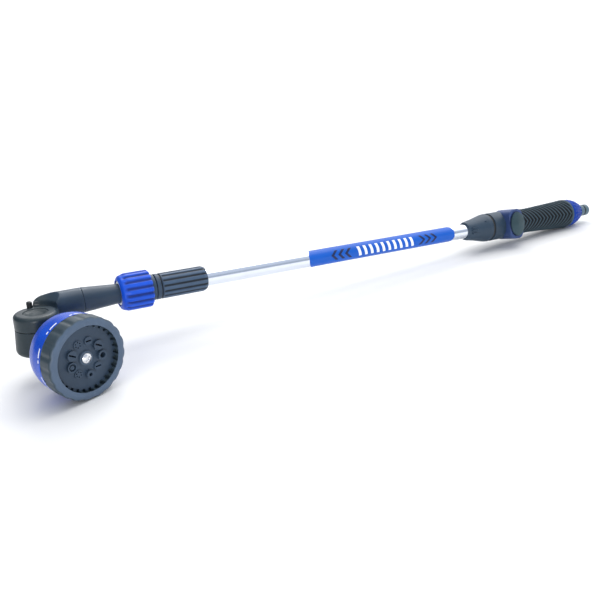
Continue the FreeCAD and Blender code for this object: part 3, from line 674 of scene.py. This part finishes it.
# ---- neck and barrel: the CAD shape, with the soft fillets of a moulding ----
def softened(name, node, voxel_mm, rounds, material, body):
    """Copy of a CAD node with its edges and inner corners melted a little."""
    piece = bpy.data.objects.new(name, frame["nodes"][node].data.copy())
    bpy.context.scene.collection.objects.link(piece)
    remesh = piece.modifiers.new("remesh", "REMESH")
    remesh.mode = "VOXEL"
    remesh.voxel_size = voxel_mm * MM
    melt = piece.modifiers.new("melt", "SMOOTH")
    melt.factor = 0.5
    melt.iterations = rounds
    piece.data = bpy.data.meshes.new_from_object(
        piece.evaluated_get(bpy.context.evaluated_depsgraph_get()))
    piece.modifiers.clear()
    piece.data.shade_smooth()
    piece.data.materials.clear()
    piece.data.materials.append(material)
    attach(piece, body)
    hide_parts(node)
    return piece


barrel_x = joints["head_swivel"]["pos_m"][0]
neck_grey = neck_plastic("neck_plastic", SLATE_GREEN, SLATE, barrel_x + 0.008, barrel_x + 0.026)
softened("neck_look", "neck_elbow", 0.5, 8, neck_grey, "telescope")

# ---- carried-over CAD nodes ----
slot_of = {part["node"]: part["material_slot"] for part in frame["record"]["subparts"]}
OWN_LOOKS = {
    "swivel_drum": barrel_grey, "drum_cap": barrel_grey, "pivot_cap": barrel_grey,
    "dial_screw": steel, "screw_washer": dial_grey,
    "nozzle_plate": plate_grey, "valve_bezel": bezel_blue, "hose_nipple": nipple_grey}
for node, piece in frame["nodes"].items():
    piece.data.materials.clear()
    piece.data.materials.append(OWN_LOOKS.get(node, LOOKS[slot_of[node]]))

# ---- stage, light and camera ----
floor_mesh = bpy.data.meshes.new("floor")
FLOOR_HALF = 60.0
floor_mesh.from_pydata(
    [(-FLOOR_HALF, -FLOOR_HALF, 0), (FLOOR_HALF, -FLOOR_HALF, 0), (FLOOR_HALF, FLOOR_HALF, 0),
     (-FLOOR_HALF, FLOOR_HALF, 0)], [], [(0, 1, 2, 3)])
floor = bpy.data.objects.new("floor", floor_mesh)
bpy.context.scene.collection.objects.link(floor)
pale = Shader("pale_floor")
floor_mesh.materials.append(pale.finish(
    pale.ramp(pale.noise(300, 2), [(0.3, (0.80, 0.80, 0.80)), (0.7, (0.82, 0.82, 0.82))]),
    pale.scaled(pale.noise(50, 2), 0.8, 0.9)))

CAMERA_SPOT = Vector((-74.1, -612.6, 191.4))
CAMERA_RIGHT = Vector((0.8703, -0.4906, -0.031))
CAMERA_DOWN = Vector((-0.1819, -0.2612, -0.946))
camera_data = bpy.data.cameras.new("camera")
camera_data.sensor_width = 36
camera_data.lens = 42
camera = bpy.data.objects.new("camera", camera_data)
bpy.context.scene.collection.objects.link(camera)
camera_turn = Matrix((CAMERA_RIGHT, -CAMERA_DOWN, -CAMERA_RIGHT.cross(CAMERA_DOWN))).transposed()
camera.matrix_world = WAND @ (Matrix.Translation(CAMERA_SPOT * MM) @ camera_turn.to_4x4())
bpy.context.scene.camera = camera

# parts of the dome: left of the wand, and square to the tubes, which mirror it
DIM_SIDE = WAND.to_3x3() @ -CAMERA_RIGHT
NEAR_SIDE = WAND.to_3x3() @ Vector((0, -0.934, 0.357))
WORLD_STRENGTH = 1.6


def build_world():
    """Studio dome: bright overhead and behind, lavender on the near side, dim on the left."""
    world = bpy.data.worlds.new("studio")
    bpy.context.scene.world = world
    world.use_nodes = True
    nodes = world.node_tree.nodes
    links = world.node_tree.links
    direction = nodes.new("ShaderNodeTexCoord").outputs["Generated"]
    split = nodes.new("ShaderNodeSeparateXYZ")
    links.new(direction, split.inputs[0])

    def toward(side):
        product = nodes.new("ShaderNodeVectorMath")
        product.operation = "DOT_PRODUCT"
        product.inputs[1].default_value = side
        links.new(direction, product.inputs[0])
        return product.outputs["Value"]

    def multiplied(first, second):
        both = nodes.new("ShaderNodeMix")
        both.data_type = "RGBA"
        both.blend_type = "MULTIPLY"
        both.inputs["Factor"].default_value = 1.0
        links.new(first, both.inputs[6])
        links.new(second, both.inputs[7])
        return both.outputs[2]

    height = colour_stops(nodes, links, split.outputs["Z"], [
        (0.0, (1.0, 1.0, 1.0)), (0.18, (0.62, 0.62, 0.64)), (0.45, (0.86, 0.88, 0.92)),
        (0.62, (1.0, 1.0, 1.0)), (1.0, (1.0, 1.0, 1.0))])
    side = colour_stops(nodes, links, toward(DIM_SIDE), [
        (0.0, (1.0, 1.0, 1.0)), (0.40, (1.0, 1.0, 1.0)), (0.62, (0.20, 0.21, 0.24)),
        (1.0, (0.08, 0.09, 0.10))])
    near = colour_stops(nodes, links, toward(NEAR_SIDE), [
        (0.0, (1.0, 1.0, 1.0)), (0.60, (1.0, 1.0, 1.0)), (0.72, (0.42, 0.46, 0.53)),
        (1.0, (0.42, 0.46, 0.53))])
    both = multiplied(multiplied(height, side), near)
    links.new(both, nodes["Background"].inputs["Color"])
    nodes["Background"].inputs["Strength"].default_value = WORLD_STRENGTH


build_world()


def soft_light(name, spot, aim, size, power):
    lamp = bpy.data.lights.new(name, "AREA")
    lamp.shape = "RECTANGLE"
    lamp.size, lamp.size_y = size
    lamp.energy = power
    holder = bpy.data.objects.new(name, lamp)
    bpy.context.scene.collection.objects.link(holder)
    holder.location = spot
    holder.rotation_euler = (Vector(aim) - Vector(spot)).to_track_quat("-Z", "Y").to_euler()
    return holder


soft_light("back", (0.4, 1.2, 1.3), (-0.1, 0, 0), (0.9, 0.4), 9)
soft_light("front", (-0.75, -1.5, 0.10), (-0.1, 0, 0.05), (0.5, 0.10), 9)
overhead = bpy.data.lights.new("overhead", "SUN")
overhead.energy = 0.9
overhead.angle = math.radians(50)
overhead_holder = bpy.data.objects.new("overhead", overhead)
bpy.context.scene.collection.objects.link(overhead_holder)
overhead_holder.rotation_euler = (math.radians(-8), math.radians(24), 0)
bpy.context.scene.view_settings.view_transform = "Standard"
